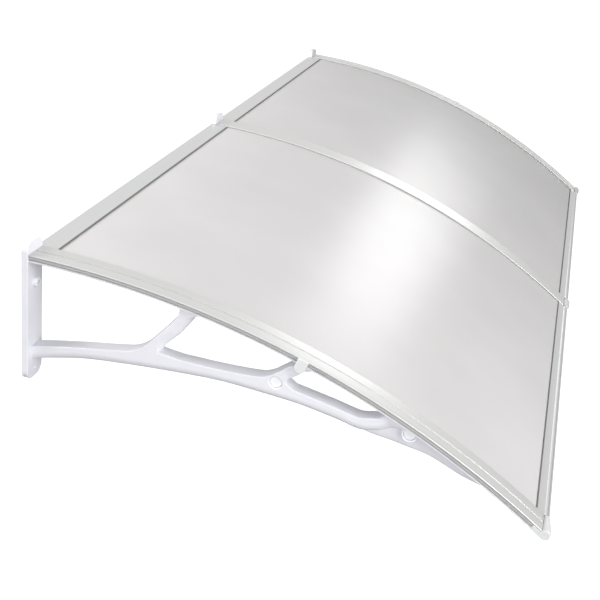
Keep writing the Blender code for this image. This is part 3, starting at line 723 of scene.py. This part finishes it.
def rounding_of(outline, solid_side):
    """Rounding radius at each point: large where the moulding faces down, away from the rail."""
    radii = []
    for place, away in zip(outline, outward_directions(outline)):
        facing_down = ease(-away.z * solid_side, *FACING_DOWN)
        depth = on_arc(angle_at(place.x), 0).z - place.z
        clear_of_rail = ease(depth, *CLEAR_OF_RAIL)
        radii.append(TOP_ROUNDING + (UNDER_ROUNDING - TOP_ROUNDING) * facing_down * clear_of_rail)
    return radii


def fuller(outline, radii, solid_side, share=0.19):
    """Moves well-rounded stretches out a little, so that a rounded edge is seen where the sharp one was."""
    moved = []
    for place, away, radius in zip(outline, outward_directions(outline), radii):
        moved.append(place + away * solid_side * share * max(radius - CAD_ROUNDING, 0))
    return moved


def moulded_solid(name, outline, half):
    outline = counter_clockwise(outline)
    radii = rounding_of(outline, 1)
    return loft(name, rounded_rings(fuller(outline, radii, 1), half, radii))


arm = moulded_solid("arm", arm_outline, ARM_HALF)
bay_cutters = []
for name, bay in BAYS.items():
    bay = counter_clockwise(bay)
    radii = rounding_of(bay, -1)
    bay_cutters.append(loft(name, rounded_rings(fuller(bay, radii, -1), ARM_HALF, radii, flare=True)))
combine(arm, bay_cutters, "DIFFERENCE")
print("arm:", len(arm.data.polygons), "faces")

# %% [markdown]
# The wall plate is a block whose corners are rounded in plan by 14 mm at the top and 20 mm at the bottom,
# and whose front rim has a small fillet. Two holes take the wall screws, the upper with a boss round it.

# %% Wall plate
PLATE_THICKNESS = 12 * MM
PLATE_WIDTH = 54.5 * MM
PLATE_TOP = 22.5 * MM
PLATE_BOTTOM = -245 * MM
PLATE_CORNERS = {"top": 14 * MM, "bottom": 20 * MM}
PLATE_FILLET = 1.5 * MM
HOLE_HEIGHTS = (-55 * MM, -226 * MM)
HOLE_RADIUS = 4 * MM
BOSS_RADIUS = 9 * MM
BOSS_HEIGHT = 8 * MM
BOSS_FILLET = 0.8 * MM

middle_height = (PLATE_TOP + PLATE_BOTTOM) / 2
plate = start(
    bpy.ops.mesh.primitive_cube_add,
    size=1.0,
    location=(PLATE_THICKNESS / 2, 0, middle_height),
    scale=(PLATE_THICKNESS, PLATE_WIDTH, PLATE_TOP - PLATE_BOTTOM),
)
bpy.ops.object.transform_apply(location=True, rotation=True, scale=True)
bpy.ops.object.mode_set(mode="EDIT")
for end, radius in PLATE_CORNERS.items():
    sign = 1 if end == "top" else -1

    def is_corner(edge):
        low, high = edge.verts[0].co, edge.verts[1].co
        through = abs(low.x - high.x) > PLATE_THICKNESS / 2
        return through and (low.z - middle_height) * sign > 0 and abs(low.y) > PLATE_WIDTH / 2 - MM / 10

    pick(plate, "EDGE", is_corner)
    bpy.ops.mesh.bevel(offset=radius, segments=10, affect="EDGES")
pick(plate, "FACE", lambda face: face.normal.x > 0.9)
bpy.ops.mesh.bevel(offset=PLATE_FILLET, segments=4, affect="EDGES")
bpy.ops.object.mode_set(mode="OBJECT")
weld(plate)


def cylinder(name, radius, first, last, sides=48):
    """Round bar between two points."""
    axis = last - first
    made = start(
        bpy.ops.mesh.primitive_cylinder_add,
        vertices=sides,
        radius=radius,
        depth=axis.length,
        location=(first + last) / 2,
        rotation=axis.to_track_quat("Z", "X").to_euler(),
    )
    made.name = name
    bpy.ops.object.transform_apply(location=True, rotation=True, scale=True)
    return made


boss = cylinder(
    "boss", BOSS_RADIUS, Vector((PLATE_INSIDE, 0, HOLE_HEIGHTS[0])),
    Vector((PLATE_THICKNESS + BOSS_HEIGHT, 0, HOLE_HEIGHTS[0])),
)
rim = {"segments": 3, "limit_method": "ANGLE", "angle_limit": math.radians(40)}
modify(boss, "BEVEL", width=BOSS_FILLET, **rim)
print("plate:", len(plate.data.polygons), "faces")

# %% [markdown]
# The rail's flange is a 50 mm wide band bent round the roof's circle, made by spinning its section. A thin
# web runs on under the front of the rail and tapers out, and it stays clear of the front opening. The two
# round recesses on the near side of the arm take plugs, and a round boss stands at the arm's tip.

# %% Rail, web, boss and recesses
RAIL_HALF = 25 * MM
FLANGE_EDGE = 1.0 * MM
FLANGE_STEPS = 60
WEB_HALF = 6.5 * MM
WEB_TOP_SHARES = (-0.2, 0.1, 0.35, 0.61)
WEB_TAPER = [(0.61, 18.6 * MM), (0.49, 25.0 * MM)]
WEB_UNDERSIDE = [
    (-0.094, 0.0323), (-0.057, 0.0362), (-0.032, 0.0401), (0.002, 0.0502), (0.032, 0.0588),
    (0.071, 0.0702), (0.100, 0.0720),
]
RECESS_RADIUS = 11 * MM
RECESS_DEPTH = 6 * MM
RECESS_CHAMFER = 1.5 * MM
TIP_BOSS_RADIUS = 14 * MM
TIP_BOSS_PROUD = 0.4 * MM
TIP_BOSS_FILLET = 0.9 * MM
WALL_HOLE_REACH = (-20 * MM, 40 * MM)
SCREW_HOLE_RADIUS = 2.1 * MM
SCREW_SETBACKS = (0.820, 0.560, 0.085)
RECESSES = {"joint": (PROJECTION - 0.493, 71.3 * MM), "tip": (TIP_X, 22 * MM)}


def rounded_section(half, low, high, radius, steps=4):
    """Rectangle of (y, level) points with rounded corners."""
    section = []
    for y, level, first in ((half, high, 0), (-half, high, 90), (-half, low, 180), (half, low, 270)):
        centre = (math.copysign(abs(y) - radius, y), level - radius if level == high else level + radius)
        for step in range(steps + 1):
            turn = math.radians(first + 90 * step / steps)
            section.append((centre[0] + radius * math.cos(turn), centre[1] + radius * math.sin(turn)))
    return section


flange_section = rounded_section(RAIL_HALF, FLANGE_UNDER, FLANGE_TOP, FLANGE_EDGE)
flange = spun("flange", flange_section, angle_at(PLATE_INSIDE), RAIL_END, FLANGE_STEPS)

web_run = PROJECTION - TIP_X
web_top_level = (FLANGE_UNDER + RIB_UNDER) / 2
web_top = [on_arc(angle_at(TIP_X + web_run * share), web_top_level) for share in WEB_TOP_SHARES]
web_taper = [under_roof(TIP_X + web_run * share, depth) for share, depth in WEB_TAPER]
web_lower = smooth_curve(web_taper + tip_points(WEB_UNDERSIDE))
web = moulded_solid("web", web_top + web_lower, WEB_HALF)
bay = counter_clockwise(BAYS["third_bay"])
bay_again = loft("third_bay", rounded_rings(bay, ARM_HALF, [TOP_ROUNDING] * len(bay), flare=True))
combine(web, [bay_again], "DIFFERENCE")

mouth = RECESS_RADIUS + RECESS_CHAMFER
recess_profile = [
    (-2 * ARM_HALF, mouth), (-ARM_HALF, mouth), (RECESS_CHAMFER - ARM_HALF, RECESS_RADIUS),
    (RECESS_DEPTH - ARM_HALF, RECESS_RADIUS),
]
recess_cutters = [
    turned("recess", under_roof(x, depth), Y_AXIS, recess_profile) for x, depth in RECESSES.values()
]
tip = under_roof(*RECESSES["tip"])
tip_boss = cylinder("tip_boss", TIP_BOSS_RADIUS, tip - Y_AXIS * (ARM_HALF + TIP_BOSS_PROUD), tip)
modify(tip_boss, "BEVEL", width=TIP_BOSS_FILLET, **rim)
wall_holes = []
for height in HOLE_HEIGHTS:
    back, front = (Vector((x, 0, height)) for x in WALL_HOLE_REACH)
    wall_holes.append(cylinder("wall_hole", HOLE_RADIUS, back, front, 32))
combine(plate, [flange, arm, web, boss, tip_boss], "UNION")
screw_holes = [
    cylinder("screw_hole", SCREW_HOLE_RADIUS, on_arc(turn, -20 * MM), on_arc(turn, 0), 24)
    for turn in (angle_at(PROJECTION - setback) for setback in SCREW_SETBACKS)
]
combine(plate, recess_cutters + wall_holes + screw_holes, "DIFFERENCE")

brackets = {name: copy_to(plate, f"moulded_bracket_{name}", y) for name, y in BRACKET_PLACES.items()}
bpy.data.objects.remove(plate)
for name, bracket in brackets.items():
    finish(bracket, f"moulded_bracket_{name}", ABS_WHITE, [f"bracket_{name}"])

# %% [markdown]
# ## Plugs
#
# A white plug is pressed into each recess. Its face is a shallow dish with a soft rim. It is turned from
# one profile of (Y, radius) points, in millimetres.

# %% Plugs
PLUG_PROFILE = [
    (-8.8, 10.7), (-9.9, 10.7), (-10.6, 10.5), (-11.2, 10.0), (-11.5, 9.2), (-11.5, 8.2), (-11.4, 7.7),
    (-11.3, 7.3), (-11.25, 4.0),
]
plug_profile = [(y * MM, radius * MM) for y, radius in PLUG_PROFILE]
for kind, (x, depth) in RECESSES.items():
    plug = turned("plug", under_roof(x, depth), Y_AXIS, plug_profile)
    for name, y in BRACKET_PLACES.items():
        placed = copy_to(plug, f"white_{kind}_plug_{name}", y)
        finish(placed, placed.name, PLUG_WHITE, [f"{kind}_plug_{name}"])
    bpy.data.objects.remove(plug)

# %% [markdown]
# ## Twin-wall sheets
#
# One flute is drawn as a flat frame: a plane, inset, with its inner face deleted. The skins sink by a few
# hundredths of a millimetre between two ribs, as extruded skins do. An array sets the flutes side by side,
# the whole row is moved onto the roof's circle, and one spin draws it to the front. So every flute is
# really hollow and open at the ends, under the bars.

# %% Sheets
SHEET_THICKNESS = 4.5 * MM
FLUTE_WALL = 0.4 * MM
SKIN_SINK = 0.04 * MM
SHEET_STEPS = 44
SHEET_SETBACK = 6.3 * MM

cell = start(bpy.ops.mesh.primitive_plane_add, size=1.0)
for vertex in cell.data.vertices:
    low_level = -SHEET_THICKNESS if vertex.co.x < 0 else 0.0
    vertex.co = Vector((low_level, 0.0 if vertex.co.y < 0 else FLUTE_PITCH, 0))
bpy.ops.object.mode_set(mode="EDIT")
bpy.ops.mesh.select_all(action="SELECT")
bpy.ops.mesh.inset(thickness=FLUTE_WALL)
bpy.ops.mesh.delete(type="FACE")
bpy.ops.mesh.select_all(action="SELECT")
bpy.ops.mesh.bisect(plane_co=(0, FLUTE_PITCH / 2, 0), plane_no=(0, 1, 0))
bpy.ops.object.mode_set(mode="OBJECT")
for vertex in cell.data.vertices:
    if abs(vertex.co.y - FLUTE_PITCH / 2) < FLUTE_PITCH / 10:
        if vertex.co.x > -FLUTE_WALL / 2:
            vertex.co.x -= SKIN_SINK
        elif vertex.co.x < FLUTE_WALL / 2 - SHEET_THICKNESS:
            vertex.co.x += SKIN_SINK
modify(
    cell, "ARRAY", count=FLUTES, use_relative_offset=False, use_constant_offset=True,
    constant_offset_displace=(0, FLUTE_PITCH, 0), use_merge_vertices=True, merge_threshold=0.01 * MM,
)
for vertex in cell.data.vertices:
    vertex.co = on_arc(STACK_START, vertex.co.x, SHEET_INNER + vertex.co.y)
bpy.ops.object.mode_set(mode="EDIT")
bpy.ops.mesh.select_all(action="SELECT")
sheet_end = back_from_front(SHEET_SETBACK)
bpy.ops.mesh.spin(steps=SHEET_STEPS, angle=STACK_START - sheet_end, center=ARC_CENTRE, axis=(0, 1, 0))
bpy.ops.object.mode_set(mode="OBJECT")
weld(cell, 0.002 * MM)
near = copy_to(cell, "twinwall_sheet_near", -SHEET_OUTER - SHEET_INNER)
finish(near, "twinwall_sheet_near", POLYCARBONATE, ["sheet_near"])
finish(cell, "twinwall_sheet_far", POLYCARBONATE, ["sheet_far"])

# %% [markdown]
# ## Cover strips
#
# Each strip is an extruded aluminium flat with a slight crown and rounded rims. The two end strips have a
# fine groove along the middle, the centre strip has none. A strip is its section, spun round the roof's
# circle.

# %% Cover strips
STRIP_HALF = 25.5 * MM
STRIP_UNDER = 1.5 * MM
STRIP_RIM = 3.7 * MM
STRIP_CROWN = 0.5 * MM
STRIP_ROUNDING = 1.1 * MM
STRIP_EDGE = 0.2 * MM
STRIP_SETBACK = 16.3 * MM
STRIP_STEPS = 64
GROOVE = {"half": 1.7 * MM, "depth": 1.2 * MM, "lip": 0.15 * MM}


def strip_section(grooved):
    """Section of (y, level) points, with the far half mirrored onto the near one."""

    def top(y):
        return STRIP_RIM + STRIP_CROWN * (1 - (y / STRIP_HALF) ** 2)

    half = [(STRIP_HALF - STRIP_EDGE, STRIP_UNDER), (STRIP_HALF, STRIP_UNDER + STRIP_EDGE)]
    for step in range(6):
        turn = math.pi / 2 * step / 5
        inset = STRIP_ROUNDING * (1 - math.cos(turn))
        half.append((STRIP_HALF - inset, STRIP_RIM - STRIP_ROUNDING * (1 - math.sin(turn))))
    half += [(STRIP_HALF * share, top(STRIP_HALF * share)) for share in (0.8, 0.6, 0.4, 0.2)]
    if grooved:
        edge = GROOVE["half"]
        half += [
            (edge + STRIP_EDGE, top(edge)),
            (edge, top(edge) - GROOVE["lip"]),
            (edge - STRIP_EDGE, top(0) - GROOVE["depth"]),
        ]
    else:
        half.append((0.02 * STRIP_HALF, top(0)))
    return half + [(-y, level) for y, level in half[::-1]]


strip_end = back_from_front(STRIP_SETBACK)
for name, y in BRACKET_PLACES.items():
    strip = spun("strip", strip_section(name != "middle"), STACK_START, strip_end, STRIP_STEPS)
    bpy.ops.transform.translate(value=(0, y, 0))
    bpy.ops.object.transform_apply(location=True, rotation=True, scale=True)
    finish(strip, f"crowned_strip_{name}", STRIP_METAL, [f"cover_strip_{name}"], 28)

# %% [markdown]
# ## Wall bars, front bars and lips
#
# The bars are aluminium extrusions that hold the ends of the sheets. Each is its section, drawn out along
# the wall, with all its edges broken by a small bevel. The wall bar has a leg over the sheets, a shelf under
# them and a flange on the wall. The front bar has a round bead on top and a hook below, and its section is
# given as (along the roof from the front edge, level) points in millimetres. A dark rubber lip is pushed
# under each bar's edge.

# %% Bars and lips
EDGE_BREAK = 0.25 * MM
BRACKET_CLEAR = {"rear": 27.75 * MM, "front": 26.0 * MM}
LEG_TOP = 2.3 * MM
LEG_UNDER = 0.3 * MM
SHELF_TOP = -4.8 * MM
SHELF_UNDER = -6.8 * MM
LEG_ANGLE = angle_at(41 * MM)
SHELF_ANGLE = angle_at(30 * MM)
WALL_FLANGE = 2 * MM
WALL_FLANGE_BOTTOM = -18 * MM
LIP_BASE = 0.7 * MM
LIP_RISE = 1.2 * MM
LIP_SPANS = {
    "rear": (angle_at(41.2 * MM), angle_at(43.2 * MM)),
    "front": (back_from_front(31.2 * MM), back_from_front(29.2 * MM)),
}


def at_front(along, level):
    return on_arc(back_from_front(-along), level)


flange_angle = angle_at(WALL_FLANGE)
REAR_BAR = (
    arc_run(0.0, LEG_ANGLE, LEG_TOP, 4)
    + arc_run(flange_angle, LEG_ANGLE, LEG_UNDER, 4)[::-1]
    + arc_run(flange_angle, SHELF_ANGLE, SHELF_TOP, 4)
    + arc_run(flange_angle, SHELF_ANGLE, SHELF_UNDER, 4)[::-1]
    + [Vector((WALL_FLANGE, 0, WALL_FLANGE_BOTTOM)), Vector((0, 0, WALL_FLANGE_BOTTOM))]
)
FRONT_BAR = [
    at_front(along * MM, level * MM)
    for along, level in (
        (-29, 0.3), (-29, 1.8), (-13, 2.3), (-12, 3.3), (-10.5, 4.1), (-8.5, 4.4), (-6.5, 4.1), (-5, 3.3),
        (-4, 2.3), (-1, 2.3), (0, 1.3), (0, -13), (-8, -13), (-8, -11), (-2, -11), (-2, -6.8),
        (-29, -6.8), (-29, -4.8), (-6, -4.8), (-6, 0.3),
    )
]


def lip_section(first, last):
    """Half-round rubber bead between two angles."""
    middle = (first + last) / 2
    half_width = (last - first) / 2
    section = [on_arc(first, LEG_UNDER), on_arc(last, LEG_UNDER)]
    for step in range(9):
        turn = math.pi * step / 8
        level = LIP_BASE + LIP_RISE * math.sin(turn)
        section.append(on_arc(middle + half_width * math.cos(turn), level))
    return section


for kind, section in {"rear": REAR_BAR, "front": FRONT_BAR}.items():
    lip_outline = lip_section(*LIP_SPANS[kind])
    clear = BRACKET_CLEAR[kind]
    for name, first, last in (
        ("near", BRACKET_PLACES["near"] + clear, -clear), ("far", clear, BRACKET_PLACES["far"] - clear)
    ):
        ends = [Vector((0, y, 0)) for y in (first, last)]
        bar = loft(f"{kind}_bar_profile_{name}", [[p + end for p in section] for end in ends])
        modify(
            bar, "BEVEL", width=EDGE_BREAK, segments=2, limit_method="ANGLE", angle_limit=math.radians(30)
        )
        finish(bar, bar.name, BAR_METAL, [f"{kind}_bar_{name}"], 32)
        lip = loft(f"{kind}_lip_bead_{name}", [[p + end for p in lip_outline] for end in ends])
        finish(lip, lip.name, LIP_RUBBER, [f"{kind}_lip_{name}"], 50)

# %% [markdown]
# ## End caps, side clips and screws
#
# A grey plastic cap closes the front of each bracket: a tongue over the rail with a round nose, slotted for
# sheet and bar. The nose is turned from (Y, radius) points in millimetres. A side clip grips each outer edge
# halfway along. Screws come up through the rail, with pan heads and a six-lobed drive.

# %% End caps
BULB_SETBACK = 6.4 * MM
BULB_LEVEL = 0.4 * MM
BULB_RADIUS = 9.6
TONGUE_LENGTH = 32 * MM
TONGUE_TOP = 1.2 * MM
TONGUE_EDGE = 0.8 * MM
SLOT_SPAN = (60 * MM, 6 * MM)
bulb_centre = at_front(-BULB_SETBACK, BULB_LEVEL)
OUTER_RIM = [(-26.0, 7.9), (-25.75, 8.8), (-25.1, 9.35), (-24.2, BULB_RADIUS)]
BULBS = {
    "near": OUTER_RIM + [(-6.5, BULB_RADIUS), (24.1, 6.6), (24.5, 6.2)],
    "middle": [
        (-24.5, 6.2), (-24.1, 6.6), (-9.5, BULB_RADIUS), (9.5, BULB_RADIUS), (24.1, 6.6), (24.5, 6.2),
    ],
}
BULBS["far"] = [(-y, radius) for y, radius in BULBS["near"]][::-1]
tongue_section = rounded_section(STRIP_HALF, FLANGE_UNDER, TONGUE_TOP, TONGUE_EDGE)
slot_start, slot_end = (back_from_front(setback) for setback in SLOT_SPAN)
SLOTS = {"near": [(-23.5, 40)], "middle": [(-40, -2.7), (2.7, 40)], "far": [(-40, 23.5)]}
for name, y in BRACKET_PLACES.items():
    cap = spun("cap", tongue_section, back_from_front(TONGUE_LENGTH), back_from_front(BULB_SETBACK), 6)
    bulb = turned("bulb", bulb_centre, Y_AXIS, [(along * MM, radius * MM) for along, radius in BULBS[name]])
    combine(cap, [bulb], "UNION")
    cutters = []
    for first, last in SLOTS[name]:
        box = [
            (last * MM, LEG_UNDER), (first * MM, LEG_UNDER), (first * MM, SHELF_TOP), (last * MM, SHELF_TOP),
        ]
        cutters.append(spun("slot", box, slot_start, slot_end, 10))
    combine(cap, cutters, "DIFFERENCE")
    placed = copy_to(cap, f"nose_cap_{name}", y)
    bpy.data.objects.remove(cap)
    finish(placed, placed.name, CAP_GREY, [f"end_cap_{name}"])

# %% Side clips
CLIP_SETBACK = 0.448
CLIP_START = 1.0003
CLIP_THICKNESS = 5 * MM
CLIP_ROUNDING = 1.2 * MM
CLIP_HALF = 10 * MM
CLIP_TOP = 4.5 * MM
CLIP_ROUND_FROM = -12 * MM
clip_angle = angle_at(PROJECTION - CLIP_SETBACK)
clip_outline = [(CLIP_HALF, CLIP_TOP), (-CLIP_HALF, CLIP_TOP)]
for turn in (math.pi * step / 16 for step in range(17)):
    clip_outline.append((-CLIP_HALF * math.cos(turn), CLIP_ROUND_FROM - CLIP_HALF * math.sin(turn)))
outline = [on_arc(clip_angle + along / ARC_RADIUS, level) for along, level in clip_outline]
outline = counter_clockwise(outline)
outward = outward_directions(outline)
for name, side in (("near", -1), ("far", 1)):
    rings = [[p + Vector((0, side * CLIP_START, 0)) for p in outline]]
    for step in range(5):
        turn = math.pi / 2 * step / 4
        shrink = CLIP_ROUNDING * (1 - math.cos(turn))
        y = CLIP_START + CLIP_THICKNESS - CLIP_ROUNDING * (1 - math.sin(turn))
        rings.append([p - away * shrink + Vector((0, side * y, 0)) for p, away in zip(outline, outward)])
    clip = loft(f"side_clip_{name}", rings)
    finish(clip, clip.name, CLIP_GREY, [f"edge_clip_{name}"])

# %% Screws
SCREW_PROFILE = [
    (2.6, 1.4), (2.2, 1.8), (-15.5, 1.8), (-15.5, 4.0), (-15.7, 4.2), (-16.7, 4.1), (-17.6, 3.5),
    (-18.1, 2.4), (-18.1, 1.7), (-16.6, 1.5),
]
screw_profile = [(level * MM, radius * MM) for level, radius in SCREW_PROFILE]
drive = (len(SCREW_PROFILE) - 2, len(SCREW_PROFILE) - 1)
for number, setback in enumerate(SCREW_SETBACKS, 1):
    turn = angle_at(PROJECTION - setback)
    upward = (on_arc(turn, 1.0) - on_arc(turn, 0.0)).normalized()
    screw = turned("screw", on_arc(turn, 0.0), upward, screw_profile, 36, drive)
    for name, y in BRACKET_PLACES.items():
        placed = copy_to(screw, f"pan_screw_{name}_{number}", y)
        finish(placed, placed.name, ZINC_STEEL, [f"strip_screw_{name}_{number}"])
    bpy.data.objects.remove(screw)

# %% [markdown]
# ## Gaskets
#
# The flat gaskets under the strips and on the rails are right as packed, so they stay and get their rubber,
# whose grey is partly painted shade.

# %% Carried-over gaskets
for name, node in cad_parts.items():
    if "gasket" in name:
        node.data.materials.clear()
        node.data.materials.append(GASKET_RUBBER_AND_SHADE)
